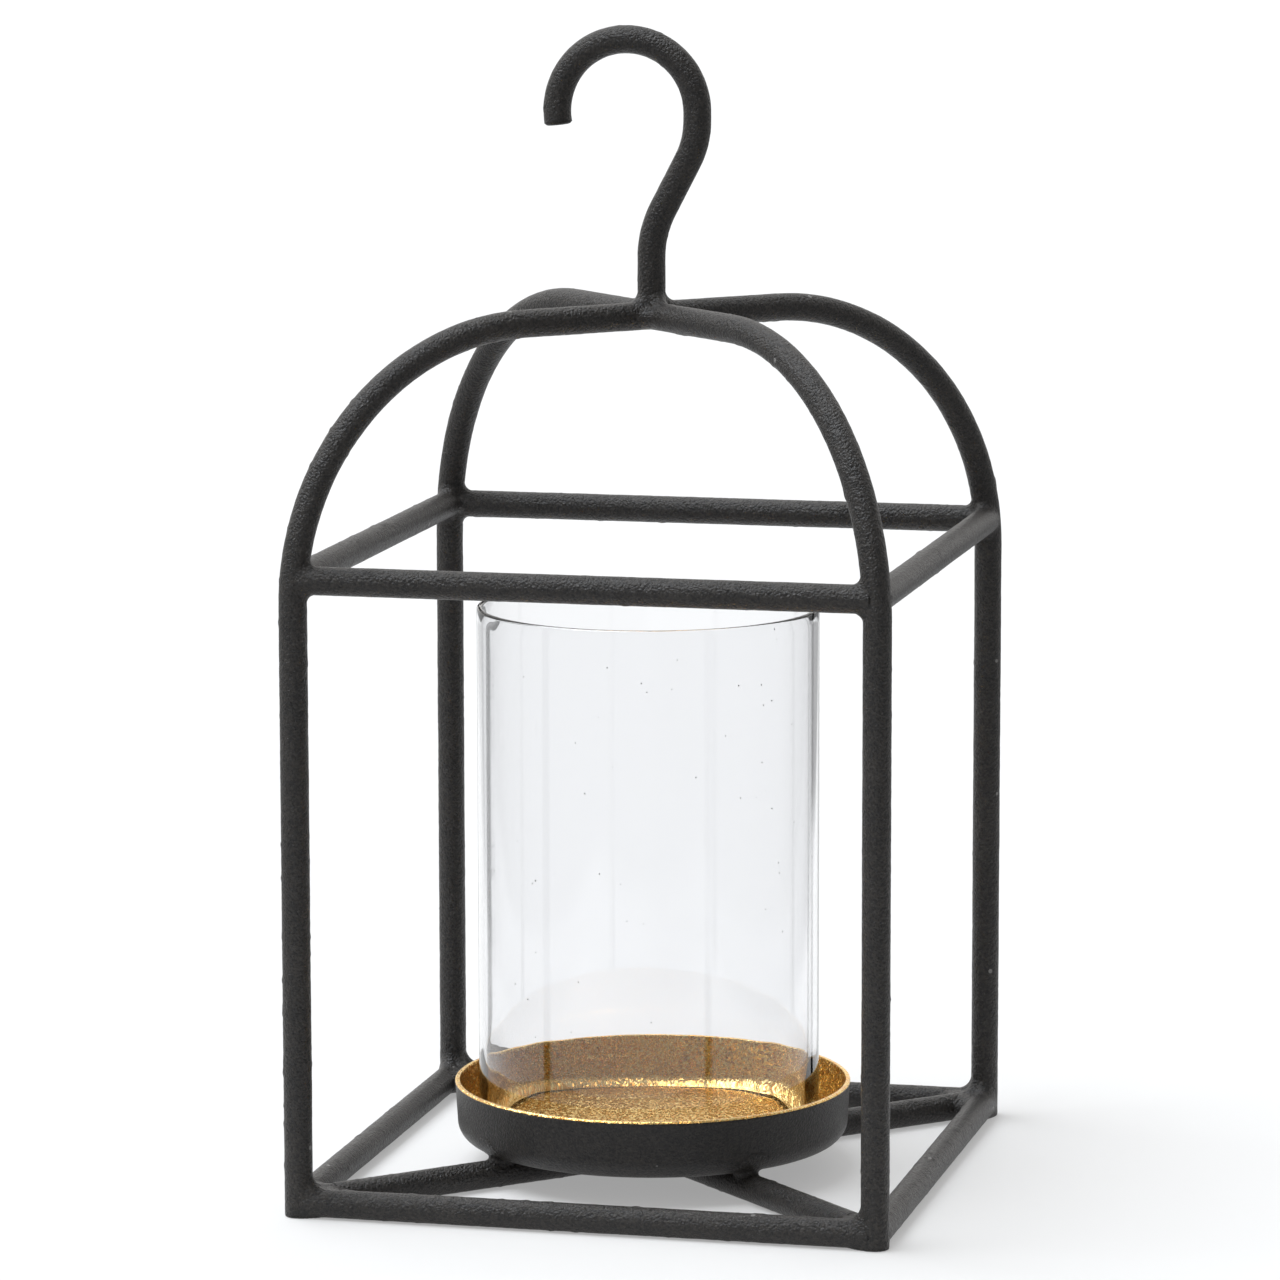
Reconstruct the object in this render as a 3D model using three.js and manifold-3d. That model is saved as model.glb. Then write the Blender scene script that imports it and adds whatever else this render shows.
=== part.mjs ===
// A candle lantern: a cage of bent and welded round rod, a hook to hang it by, a shallow dish
// welded on the base cross, and a loose glass tube that stands in the dish around the candle.
// Millimetres, +Z up. The origin is on the floor, below the middle of the cage; -Y is the front.
import * as THREE from "three";
import { mergeVertices } from "three/addons/utils/BufferGeometryUtils.js";
import Module from "manifold-3d";

const wasm = await Module();
wasm.setup();

// ---- driving dimensions ----

const gap = 0.3; // between neighbouring pieces that touch on the real lantern

// cage of round rod
const rodDiameter = 7;
const legSpacing = 144; // between the axes of two neighbouring legs
const shoulderHeight = 151; // the legs are straight up to here
const shoulderRadius = 65; // of the bend from leg to crown, on the rod's axis
const topRingRise = 6.5; // axis of the top ring above the start of the bend

// hook, from its foot on the crown to its tip
const hookStem = 14.3; // from the crown's axis to the start of the neck
const hookNeckRadius = 26.5;
const hookLean = THREE.MathUtils.degToRad(27.6);
const hookNeckStraight = 13.4;
const hookSideRadius = 21.5; // of the slower bend that brings the neck upright again
const hookSideStraight = 2.1;
const hookRadius = 17.8; // of the curl
const hookCurlEnd = THREE.MathUtils.degToRad(186); // the curl goes this far round
const hookTip = 1.7;

// glass tube
const glassRadius = 43;
const glassWall = 1.5;
const glassFootWall = 2.5; // the tube is thicker at its foot
const glassFootHeavy = 7; // up to here above the foot
const glassFootFade = 24; // and has thinned out by here
const glassHeight = 134.5;
const glassRimRadius = 0.7; // the rim's edges are melted round
const glassFootChamfer = 0.3; // the foot is ground flat
const glassDrift = 1; // it stands loose, a little to the left of the dish's middle

// dish
const dishClearance = 5.8; // from the glass to the dish's wall, at the rim
const dishWall = 1.2;
const dishHeight = 15.3;
const dishTaper = 0.6; // the wall leans out by this much
const dishCornerRadius = 5; // outside, between wall and floor

// weld beads
const rootGap = 2; // a butting rod stops this far from the rod it is welded to
const weldThroat = 1.6; // how far a bead stands out from the rod in the corner
const weldToe = 0.5; // and where it runs out
const weldLap = 3; // how far a bead laps onto the butting rod
const weldReach = 5; // and along the rod that runs through
const dishWeldWidth = 5;
const dishWeldLap = 2.5; // how far the bead runs out past the dish along the cross bar
const dishWeldRise = 2.5; // and how far it climbs up the dish's rounded corner
const dishWeldEdge = 1.7; // height of its outer edge there

// steps of the round shapes
const rodSides = 16;
const rodTurnStep = THREE.MathUtils.degToRad(7.5);
const hookTurnStep = THREE.MathUtils.degToRad(10);
const roundSides = 72;
const cornerSteps = 5;
const rimSteps = 3;

// ---- sizes that follow from them ----

const rodRadius = rodDiameter / 2;
const legOffset = legSpacing / 2;
const legDiagonal = legOffset * Math.SQRT2; // from the middle of the cage to a leg's axis
const crownHalf = legDiagonal - shoulderRadius; // straight part of the crown, each way
const crownHeight = shoulderHeight + shoulderRadius;
const topRingHeight = shoulderHeight + topRingRise;
const topRingDiagonal = crownHalf + Math.sqrt(shoulderRadius ** 2 - topRingRise ** 2);
const topRingOffset = topRingDiagonal / Math.SQRT2;
const buttOffset = rodRadius + rootGap; // from a rod's axis to the end of one that butts on it
const cageSide = legOffset + rodRadius; // outer face of the cage
const crossEnd = (legOffset - rodRadius - gap) * Math.SQRT2 - rodRadius;

const dishBottom = rodDiameter + gap;
const dishFloor = dishBottom + dishWall;
const dishTop = dishBottom + dishHeight;
const dishRimRadius = glassRadius + dishClearance + dishWall;
const dishFootRadius = dishRimRadius - dishTaper;
const glassBottom = dishFloor + gap;

// ---- materials ----

const blackCoat = { color: 0x2d2b2a, roughness: 0.75, metalness: 0.2 };
const dishCoat = { color: 0x2b2a2a, roughness: 0.7, metalness: 0.2 };
const clearGlass = { color: 0xe6ebf0, roughness: 0.05, metalness: 0, transparent: true, opacity: 0.35 };

const lantern = new THREE.Group();

function addNode(name, geometry, look) {
  const mesh = new THREE.Mesh(geometry, new THREE.MeshStandardMaterial(look));
  mesh.name = name;
  lantern.add(mesh);
  return mesh;
}

// ---- joining and cutting ----

function toSolid(geometry) {
  const bare = geometry.clone();
  bare.deleteAttribute("normal");
  bare.deleteAttribute("uv");
  const merged = mergeVertices(bare, 1e-4);
  const vertProperties = merged.attributes.position.array;
  const triVerts = new Uint32Array(merged.index.array);
  return new wasm.Manifold(new wasm.Mesh({ numProp: 3, vertProperties, triVerts }));
}

function toGeometry(solid) {
  const mesh = solid.getMesh();
  const geometry = new THREE.BufferGeometry();
  geometry.setAttribute("position", new THREE.BufferAttribute(mesh.vertProperties, 3));
  geometry.setIndex(new THREE.BufferAttribute(mesh.triVerts, 1));
  return geometry;
}

function unionOf(solids) {
  return solids.reduce((joined, solid) => joined.add(solid));
}

function cutAll(solid, cutters) {
  return cutters.reduce((left, cutter) => left.subtract(cutter), solid);
}

// An upright prism of a flat outline, from a floor height to a ceiling height.
function prismSolid(outline, floor, ceiling) {
  const geometry = new THREE.ExtrudeGeometry(outline, {
    depth: ceiling - floor,
    bevelEnabled: false,
  });
  geometry.translate(0, 0, floor);
  return toSolid(geometry);
}

// ---- rods ----

// The line that a rod follows, as stations: a point and the direction there. The rod gets one
// ring of corners at each station, so its straights take none and its bends take them evenly.
class RodLine extends THREE.Curve {
  constructor(stations) {
    super();
    this.stations = stations;
  }
  stationAt(t) {
    return this.stations[Math.round(t * (this.stations.length - 1))];
  }
  getPoint(t) {
    return this.stationAt(t).point.clone();
  }
  getTangent(t) {
    return this.stationAt(t).direction.clone();
  }
  getUtoTmapping(u) {
    return u;
  }
}

// Stations of a rod bent in one plane. It starts at a point, heads along `ahead`, and each move
// is a straight { run } or a bend { turn, radius }, where a positive turn goes towards `side`.
function bentLine(start, ahead, side, moves, turnStep) {
  const heading = (angle) =>
    ahead.clone().multiplyScalar(Math.cos(angle)).addScaledVector(side, Math.sin(angle));
  let point = start.clone();
  let angle = 0;
  const stations = [{ point, direction: heading(angle) }];
  for (const { run, turn, radius } of moves) {
    if (run !== undefined) {
      point = point.clone().addScaledVector(heading(angle), run);
      stations.push({ point, direction: heading(angle) });
      continue;
    }
    const inward = Math.PI / 2 * Math.sign(turn);
    const centre = point.clone().addScaledVector(heading(angle + inward), radius);
    const steps = Math.ceil(Math.abs(turn) / turnStep);
    for (let step = 1; step <= steps; step++) {
      const now = angle + (turn * step) / steps;
      point = centre.clone().addScaledVector(heading(now + inward), -radius);
      stations.push({ point, direction: heading(now) });
    }
    angle += turn;
  }
  return stations;
}

function straightLine(from, to) {
  const direction = to.clone().sub(from).normalize();
  return [
    { point: from, direction },
    { point: to, direction },
  ];
}

// The round section, turned so that a corner faces each way along the section's own axes.
function rodSection(radius) {
  const corners = [];
  for (let side = 0; side < rodSides; side++) {
    const angle = (2 * Math.PI * side) / rodSides;
    corners.push(new THREE.Vector2(radius * Math.cos(angle), radius * Math.sin(angle)));
  }
  return new THREE.Shape(corners);
}

// A rod along its stations. `allowance` makes it that much fatter and longer, as a cutter that
// leaves a gap round the real rod.
function rodGeometry(stations, allowance = 0) {
  const first = stations[0];
  const last = stations[stations.length - 1];
  const line = [
    { ...first, point: first.point.clone().addScaledVector(first.direction, -allowance) },
    ...stations.slice(1, -1),
    { ...last, point: last.point.clone().addScaledVector(last.direction, allowance) },
  ];
  return new THREE.ExtrudeGeometry(rodSection(rodRadius + allowance), {
    steps: line.length - 1,
    extrudePath: new RodLine(line),
  });
}

const rodCutter = (stations) => toSolid(rodGeometry(stations, gap));

// ---- places ----

const up = new THREE.Vector3(0, 0, 1);
const down = new THREE.Vector3(0, 0, -1);
const place = (x, y, z) => new THREE.Vector3(x, y, z);

const corners = {
  front_left: { x: -1, y: -1 },
  front_right: { x: 1, y: -1 },
  back_right: { x: 1, y: 1 },
  back_left: { x: -1, y: 1 },
};
for (const corner of Object.values(corners)) {
  corner.outward = place(corner.x, corner.y, 0).normalize();
  corner.at = (offset, z) => place(corner.x * offset, corner.y * offset, z);
}

const sides = {
  front: ["front_left", "front_right"],
  right: ["front_right", "back_right"],
  back: ["back_right", "back_left"],
  left: ["back_left", "front_left"],
};

// ---- the rods' lines ----

// A hoop rises from a foot, bends over the shoulder and runs level across the crown.
function legMoves() {
  return [{ run: shoulderHeight }, { turn: Math.PI / 2, radius: shoulderRadius }];
}

// The full hoop goes from the front left foot over the crown to the back right foot.
function fullHoopLine() {
  const { at, outward } = corners.front_left;
  const inward = outward.clone().negate();
  const overShoulder = { turn: Math.PI / 2, radius: shoulderRadius };
  const moves = [...legMoves(), { run: 2 * crownHalf }, overShoulder, { run: shoulderHeight }];
  return bentLine(at(legOffset, 0), up, inward, moves, rodTurnStep);
}

// Each of the other two legs bends over and butts against the full hoop at the crown.
function halfHoopLine(cornerName) {
  const { at, outward } = corners[cornerName];
  const inward = outward.clone().negate();
  const moves = [...legMoves(), { run: crownHalf - buttOffset }];
  return bentLine(at(legOffset, 0), up, inward, moves, rodTurnStep);
}

// A ring bar lies between two legs whose axes are `offset` from the middle at that height.
function ringLine([fromCorner, toCorner], offset, height) {
  const from = corners[fromCorner].at(offset, height);
  const to = corners[toCorner].at(offset, height);
  const along = to.clone().sub(from).normalize();
  from.addScaledVector(along, buttOffset);
  to.addScaledVector(along, -buttOffset);
  return straightLine(from, to);
}

// The base cross: one bar right across, and two that butt against it in the middle.
function crossLine(cornerName, innerEnd) {
  const { outward } = corners[cornerName];
  const pointAt = (distance) => outward.clone().multiplyScalar(distance).setZ(rodRadius);
  return straightLine(pointAt(innerEnd), pointAt(crossEnd));
}

// The hook stands on the crown, leans to the right, and curls over to the left.
function hookLine() {
  const moves = [
    { run: hookStem - buttOffset },
    { turn: hookLean, radius: hookNeckRadius },
    { run: hookNeckStraight },
    { turn: -hookLean, radius: hookSideRadius },
    { run: hookSideStraight },
    { turn: -hookCurlEnd, radius: hookRadius },
    { run: hookTip },
  ];
  return bentLine(place(0, 0, crownHeight + buttOffset), up, place(1, 0, 0), moves, hookTurnStep);
}

const lines = {
  hoop_full: fullHoopLine(),
  hoop_half_front_right: halfHoopLine("front_right"),
  hoop_half_back_left: halfHoopLine("back_left"),
  cross_full: crossLine("back_right", -crossEnd),
  cross_half_front_right: crossLine("front_right", buttOffset),
  cross_half_back_left: crossLine("back_left", buttOffset),
  hook: hookLine(),
};
for (const [side, ends] of Object.entries(sides)) {
  lines[`ring_top_${side}`] = ringLine(ends, topRingOffset, topRingHeight);
  lines[`ring_base_${side}`] = ringLine(ends, legOffset, rodRadius);
}
for (const [name, line] of Object.entries(lines)) addNode(name, rodGeometry(line), blackCoat);

// ---- the dish and the glass ----

function arcPoints(x, z, radius, fromAngle, toAngle, steps) {
  const points = [];
  for (let step = 0; step <= steps; step++) {
    const angle = fromAngle + ((toAngle - fromAngle) * step) / steps;
    points.push(new THREE.Vector2(x + radius * Math.cos(angle), z + radius * Math.sin(angle)));
  }
  return points;
}

const dishCornerAt = {
  x: dishFootRadius - dishCornerRadius,
  z: dishBottom + dishCornerRadius,
};

// The dish's outside, from the middle of its foot to the rim, fattened by an allowance.
function dishOutside(allowance = 0) {
  const { x, z } = dishCornerAt;
  return [
    new THREE.Vector2(0, dishBottom - allowance),
    ...arcPoints(x, z, dishCornerRadius + allowance, -Math.PI / 2, 0, cornerSteps),
    new THREE.Vector2(dishRimRadius + allowance, dishTop),
  ];
}

// A shallow pressed dish with a rounded corner and a plain rim.
function dishGeometry() {
  const { x, z } = dishCornerAt;
  const profile = [
    ...dishOutside(),
    new THREE.Vector2(dishRimRadius - dishWall, dishTop),
    ...arcPoints(x, z, dishCornerRadius - dishWall, 0, -Math.PI / 2, cornerSteps),
    new THREE.Vector2(0, dishFloor),
  ];
  return new THREE.LatheGeometry(profile, roundSides);
}

// What the dish takes up, filled to the rim, as a cutter that leaves a gap round it.
function dishCutterGeometry() {
  return new THREE.LatheGeometry([...dishOutside(gap), new THREE.Vector2(0, dishTop)], roundSides);
}

// A tube, open at both ends: its rim's edges are round, its foot is thicker than the rest, and
// the foot's edges have a chamfer.
function glassGeometry() {
  const top = glassBottom + glassHeight;
  const inner = glassRadius - glassWall;
  const footInner = glassRadius - glassFootWall;
  const rimCentre = top - glassRimRadius;
  const quarter = Math.PI / 2;
  const profile = [
    new THREE.Vector2(footInner + glassFootChamfer, glassBottom),
    new THREE.Vector2(glassRadius - glassFootChamfer, glassBottom),
    new THREE.Vector2(glassRadius, glassBottom + glassFootChamfer),
    ...arcPoints(glassRadius - glassRimRadius, rimCentre, glassRimRadius, 0, quarter, rimSteps),
    ...arcPoints(inner + glassRimRadius, rimCentre, glassRimRadius, quarter, 2 * quarter, rimSteps),
    new THREE.Vector2(inner, glassBottom + glassFootFade),
    new THREE.Vector2(footInner, glassBottom + glassFootHeavy),
    new THREE.Vector2(footInner, glassBottom + glassFootChamfer),
    new THREE.Vector2(footInner + glassFootChamfer, glassBottom),
  ];
  return new THREE.LatheGeometry(profile, roundSides);
}

// A lathe turns about Y: this stands it up along Z.
const standUp = (geometry) => geometry.rotateX(Math.PI / 2);

addNode("dish", standUp(dishGeometry()), dishCoat);
const glass = addNode("glass_tube", standUp(glassGeometry()), clearGlass);
glass.position.x = -glassDrift;

// ---- the weld beads ----

// One arm of a bead: a cone round a rod, from the joint's middle out to the toe.
function weldArm(centre, direction, length) {
  const cone = new THREE.CylinderGeometry(
    rodRadius + weldToe,
    rodRadius + weldThroat,
    length,
    rodSides,
  );
  cone.translate(0, length / 2, 0);
  const turn = new THREE.Quaternion().setFromUnitVectors(place(0, 1, 0), direction);
  cone.applyQuaternion(turn);
  cone.translate(centre.x, centre.y, centre.z);
  return toSolid(cone);
}

// A bead is its arms, joined, kept inside `limits` and cut away round every rod it joins.
function addWeld(name, centre, arms, rodNames, limits) {
  const blob = unionOf(arms.map(({ direction, length }) => weldArm(centre, direction, length)));
  const cutters = rodNames.map((rodName) => rodCutter(lines[rodName]));
  const bead = cutAll(blob.intersect(limits), cutters);
  addNode(name, toGeometry(bead), blackCoat);
}

const buttArm = buttOffset + weldLap;
const throughArm = rodRadius + weldReach;

const hoopAt = {
  front_left: "hoop_full",
  front_right: "hoop_half_front_right",
  back_right: "hoop_full",
  back_left: "hoop_half_back_left",
};
const crossAt = {
  front_left: "cross_full",
  front_right: "cross_half_front_right",
  back_right: "cross_full",
  back_left: "cross_half_back_left",
};

// No bead stands out past the cage's flat outer faces, or round the outside of a leg.
function cageSolid(floor, ceiling) {
  const near = legOffset - rodRadius;
  const outline = new THREE.Shape([
    new THREE.Vector2(cageSide, near),
    new THREE.Vector2(near, cageSide),
    new THREE.Vector2(-near, cageSide),
    new THREE.Vector2(-cageSide, near),
    new THREE.Vector2(-cageSide, -near),
    new THREE.Vector2(-near, -cageSide),
    new THREE.Vector2(near, -cageSide),
    new THREE.Vector2(cageSide, -near),
  ]);
  return prismSolid(outline, floor, ceiling);
}

for (const [name, { x, y, at, outward }] of Object.entries(corners)) {
  const alongX = { direction: place(-x, 0, 0), length: buttArm };
  const alongY = { direction: place(0, -y, 0), length: buttArm };
  const upLeg = { direction: up, length: throughArm };
  const downLeg = { direction: down, length: throughArm };
  const sideX = y < 0 ? "front" : "back";
  const sideY = x < 0 ? "left" : "right";

  const topRods = [hoopAt[name], `ring_top_${sideX}`, `ring_top_${sideY}`];
  const topCentre = at(topRingOffset, topRingHeight);
  const topArms = [alongX, alongY, upLeg, downLeg];
  addWeld(`weld_top_${name}`, topCentre, topArms, topRods, cageSolid(0, crownHeight));

  const crossArm = {
    direction: outward.clone().negate(),
    length: legDiagonal - crossEnd + weldLap,
  };
  const baseRods = [hoopAt[name], `ring_base_${sideX}`, `ring_base_${sideY}`, crossAt[name]];
  const baseCentre = at(legOffset, rodRadius);
  const baseArms = [alongX, alongY, crossArm, upLeg];
  addWeld(`weld_base_${name}`, baseCentre, baseArms, baseRods, cageSolid(rodRadius, crownHeight));
}

// The crown: two half hoops against the full one, and the hook's stem on top.
{
  const rods = ["hoop_full", "hoop_half_front_right", "hoop_half_back_left", "hook"];
  const arms = [{ direction: up, length: buttArm }];
  for (const [name, { outward }] of Object.entries(corners)) {
    arms.push({ direction: outward, length: hoopAt[name] === "hoop_full" ? throughArm : buttArm });
  }
  const ceiling = crownHeight + hookStem;
  addWeld("weld_crown", place(0, 0, crownHeight), arms, rods, cageSolid(0, ceiling));
}

// The middle of the base cross, under the dish.
for (const name of ["front_right", "back_left"]) {
  const rods = ["cross_full", crossAt[name]];
  const arms = [{ direction: corners[name].outward, length: buttArm }];
  addWeld(`weld_cross_${name}`, place(0, 0, rodRadius), arms, rods, cageSolid(gap, rodDiameter));
}

// Where the dish's rounded edge sits on a cross bar: a wedge between the bar and the dish.
function dishWedge(outward) {
  const low = rodRadius;
  const inner = dishFootRadius - dishCornerRadius;
  const outline = new THREE.Shape([
    new THREE.Vector2(inner, low),
    new THREE.Vector2(dishFootRadius + dishWeldLap, low),
    new THREE.Vector2(dishFootRadius + dishWeldLap, rodDiameter + weldToe),
    new THREE.Vector2(dishFootRadius, dishBottom + dishWeldEdge),
    new THREE.Vector2(dishFootRadius - weldToe, dishBottom + dishWeldRise),
    new THREE.Vector2(inner, dishBottom + dishWeldRise),
  ]);
  const wedge = new THREE.ExtrudeGeometry(outline, { depth: dishWeldWidth, bevelEnabled: false });
  wedge.translate(0, 0, -dishWeldWidth / 2);
  wedge.rotateX(Math.PI / 2);
  wedge.rotateZ(Math.atan2(outward.y, outward.x));
  return toSolid(wedge);
}

const dishCutter = toSolid(standUp(dishCutterGeometry()));
for (const [name, { outward }] of Object.entries(corners)) {
  const bead = cutAll(dishWedge(outward), [dishCutter, rodCutter(lines[crossAt[name]])]);
  addNode(`weld_dish_${name}`, toGeometry(bead), blackCoat);
}

export default lantern;
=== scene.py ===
# A candle lantern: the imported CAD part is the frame, and finer pieces stand for its nodes. Shapes
# are worked out in millimetres, in the part's own frame (+Z up, front at -Y), and put into
# Blender in metres.
import math

import bpy
import numpy as np
import openvdb
from mathutils import Matrix, Vector


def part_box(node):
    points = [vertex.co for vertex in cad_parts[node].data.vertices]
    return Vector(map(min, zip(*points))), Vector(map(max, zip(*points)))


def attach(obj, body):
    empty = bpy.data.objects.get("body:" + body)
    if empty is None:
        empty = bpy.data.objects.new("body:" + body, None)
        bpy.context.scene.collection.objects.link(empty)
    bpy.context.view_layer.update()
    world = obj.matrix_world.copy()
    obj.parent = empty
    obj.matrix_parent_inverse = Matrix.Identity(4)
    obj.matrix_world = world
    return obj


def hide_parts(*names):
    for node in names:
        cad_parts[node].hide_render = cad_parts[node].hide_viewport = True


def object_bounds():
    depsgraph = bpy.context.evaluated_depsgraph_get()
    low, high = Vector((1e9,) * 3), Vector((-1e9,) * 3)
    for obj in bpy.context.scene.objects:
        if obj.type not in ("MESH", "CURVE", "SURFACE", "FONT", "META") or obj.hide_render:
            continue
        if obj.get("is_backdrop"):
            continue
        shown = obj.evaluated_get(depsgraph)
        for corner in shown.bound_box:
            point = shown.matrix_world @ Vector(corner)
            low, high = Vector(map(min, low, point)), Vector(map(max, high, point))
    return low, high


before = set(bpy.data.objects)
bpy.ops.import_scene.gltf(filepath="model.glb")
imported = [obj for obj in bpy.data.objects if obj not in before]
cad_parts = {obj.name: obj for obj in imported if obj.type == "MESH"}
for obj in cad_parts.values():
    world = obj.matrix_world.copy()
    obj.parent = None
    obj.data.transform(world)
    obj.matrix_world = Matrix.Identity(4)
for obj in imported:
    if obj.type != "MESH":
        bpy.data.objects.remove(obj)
cad_low, cad_high = (np.array(corner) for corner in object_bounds())

MM = 0.001
TINY = 1e-6  # keeps a division away from zero

# ---- sizes, in millimetres, as the CAD part has them ----

ROD_RADIUS = 3.5
LEG_OFFSET = 72.0
SHOULDER_HEIGHT = 151.0
SHOULDER_RADIUS = 65.0
TOP_RING_HEIGHT = 157.5
HOOK_STEM = 14.3
HOOK_NECK_RADIUS = 26.5
HOOK_LEAN = math.radians(27.6)
HOOK_NECK_STRAIGHT = 13.4
HOOK_SIDE_RADIUS = 21.5
HOOK_SIDE_STRAIGHT = 2.1
HOOK_RADIUS = 17.8
HOOK_CURL_END = math.radians(186)
HOOK_TIP = 1.7
GLASS_WALL = 1.5
GLASS_FOOT_WALL = 2.5
GLASS_FOOT_HEAVY = 7.0
GLASS_FOOT_FADE = 24.0
GLASS_RIM_RADIUS = 0.7
GLASS_FOOT_CHAMFER = 0.3
DISH_WALL = 1.2
DISH_TAPER = 0.6
DISH_CORNER_RADIUS = 5.0

# ---- sizes that follow from them and from the frame ----

LEG_DIAGONAL = LEG_OFFSET * math.sqrt(2)
CROWN_HALF = LEG_DIAGONAL - SHOULDER_RADIUS
CROWN_HEIGHT = SHOULDER_HEIGHT + SHOULDER_RADIUS
TOP_RING_DROP = TOP_RING_HEIGHT - SHOULDER_HEIGHT
TOP_RING_OFFSET = (CROWN_HALF + math.sqrt(SHOULDER_RADIUS**2 - TOP_RING_DROP**2)) / math.sqrt(2)
BUTT_OFFSET = 0.3  # a butting rod runs on to here from the axis of the one it is welded to


def box_mm(node):
    low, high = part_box(node)
    return np.array(low) / MM, np.array(high) / MM


dish_low, dish_high = box_mm("dish")
glass_low, glass_high = box_mm("glass_tube")
DISH_BOTTOM = dish_low[2]
DISH_TOP = dish_high[2]
DISH_RIM_RADIUS = dish_high[0]
DISH_FOOT_RADIUS = DISH_RIM_RADIUS - DISH_TAPER
GLASS_RADIUS = (glass_high[0] - glass_low[0]) / 2
GLASS_MIDDLE = (glass_high[0] + glass_low[0]) / 2
GLASS_TOP = glass_high[2]
CROSS_END = box_mm("cross_half_front_right")[1][0] * math.sqrt(2) - ROD_RADIUS

UP = np.array([0.0, 0.0, 1.0])
CORNERS = {
    "front_left": (-1, -1),
    "front_right": (1, -1),
    "back_right": (1, 1),
    "back_left": (-1, 1),
}
SIDES = {
    "front": ("front_left", "front_right"),
    "right": ("front_right", "back_right"),
    "back": ("back_right", "back_left"),
    "left": ("back_left", "front_left"),
}


def corner_at(name, offset, height):
    x, y = CORNERS[name]
    return np.array([x * offset, y * offset, height])


def outward(name):
    return corner_at(name, 1 / math.sqrt(2), 0)


# ---- relief of the coatings ----


def eased(share):
    """Runs from 0 to 1 with a level start and end."""
    return share * share * (3 - 2 * share)


class Relief:
    """Smooth random bumps fixed in space, so that neighbouring pieces share them."""

    CELLS = 64

    def __init__(self, seed):
        draw = np.random.default_rng(seed)
        self.lattice = draw.uniform(-1, 1, (self.CELLS,) * 3)

    def at(self, points, wavelength):
        place = points / wavelength
        cell = np.floor(place).astype(int)
        part = place - cell
        part = eased(part)
        total = np.zeros(len(points))
        for dx in (0, 1):
            for dy in (0, 1):
                for dz in (0, 1):
                    share = np.ones(len(points))
                    for axis, step in enumerate((dx, dy, dz)):
                        share *= part[:, axis] if step else 1 - part[:, axis]
                    at = (cell + (dx, dy, dz)) % self.CELLS
                    total += share * self.lattice[at[:, 0], at[:, 1], at[:, 2]]
        return total


relief = Relief(seed=7)
POWDER_DEPTH = 0.035
POWDER_GRAIN = 1.2
POWDER_FLOW = 6.0
NIB_SPACING = 2.1
NIB_LEVEL = 0.62
NIB_HEIGHT = 0.55

# Each layer reads the relief at its own shift, so that no two repeat each other.
FLOW_SHIFT = 40
NIB_SHIFT = 90
GOLD_SHIFT = 20


def powder(points):
    """Height of the powder coat on the rods: fine grain, a slow swell, and a few raised nibs."""
    grain = relief.at(points, POWDER_GRAIN) * POWDER_DEPTH
    flow = relief.at(points + FLOW_SHIFT, POWDER_FLOW) * POWDER_DEPTH
    peaks = relief.at(points + NIB_SHIFT, NIB_SPACING) - NIB_LEVEL
    return grain + flow + np.clip(peaks, 0, None) * NIB_HEIGHT


# ---- meshes ----


def add_piece(name, points, faces, material, body, replaced):
    """Makes a smooth mesh object from points in millimetres and puts it in the frame."""
    mesh = bpy.data.meshes.new(name)
    corners = [[int(index) for index in face] for face in faces]
    mesh.from_pydata((np.asarray(points) * MM).tolist(), [], corners)
    mesh.validate()
    mesh.shade_smooth()
    mesh.materials.append(material)
    piece = bpy.data.objects.new(name, mesh)
    bpy.context.scene.collection.objects.link(piece)
    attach(piece, body)
    if replaced:
        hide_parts(*replaced)
    return piece


def inside_cage(points):
    """Keeps nibs from standing out past the part's own box."""
    return np.clip(points, cad_low / MM, cad_high / MM)


def ring_faces(rows, sides, first=0):
    """Quads between rows of points that each close on themselves."""
    faces = []
    for row in range(rows - 1):
        for side in range(sides):
            after = (side + 1) % sides
            a = first + row * sides
            b = a + sides
            faces.append((a + side, a + after, b + after, b + side))
    return faces


def end_fans(sides, start_hub, start_row, end_hub, end_row):
    """Triangles that close the first and the last row onto the points in their middles."""
    faces = []
    for here in range(sides):
        after = (here + 1) % sides
        faces.append((start_hub, start_row + after, start_row + here))
        faces.append((end_hub, end_row + here, end_row + after))
    return faces


# ---- rods ----

RING_STEP = 0.6
ROD_SIDES = 40
COAT_RADIUS = ROD_RADIUS - 0.02
END_ROUNDING = 1.0
END_STEPS = 6


def bent_line(start, ahead, side, moves):
    """Points every RING_STEP along a rod bent in one plane, and the directions there. A move is
    ("run", length) or ("turn", angle, radius), where a positive turn goes towards side."""
    ahead = np.asarray(ahead, float)
    side = np.asarray(side, float)

    def heading(angle):
        return ahead * math.cos(angle) + side * math.sin(angle)

    point = np.asarray(start, float)
    angle = 0.0
    points = [point]
    headings = [heading(angle)]
    for kind, amount, *rest in moves:
        if kind == "run":
            steps = max(1, round(amount / RING_STEP))
            for step in range(1, steps + 1):
                points.append(point + heading(angle) * (amount * step / steps))
                headings.append(heading(angle))
            point = points[-1]
            continue
        radius = rest[0]
        inward = math.copysign(math.pi / 2, amount)
        centre = point + heading(angle + inward) * radius
        steps = max(1, round(abs(amount) * radius / RING_STEP))
        for step in range(1, steps + 1):
            now = angle + amount * step / steps
            points.append(centre - heading(now + inward) * radius)
            headings.append(heading(now))
        point = points[-1]
        angle += amount
    return np.array(points), np.array(headings), np.cross(ahead, side)


def straight_line(start, end):
    span = end - start
    length = np.linalg.norm(span)
    ahead = span / length
    side = np.cross(UP, ahead)
    return bent_line(start, ahead, side, [("run", length)])


OVER_SHOULDER = ("turn", math.pi / 2, SHOULDER_RADIUS)


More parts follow.
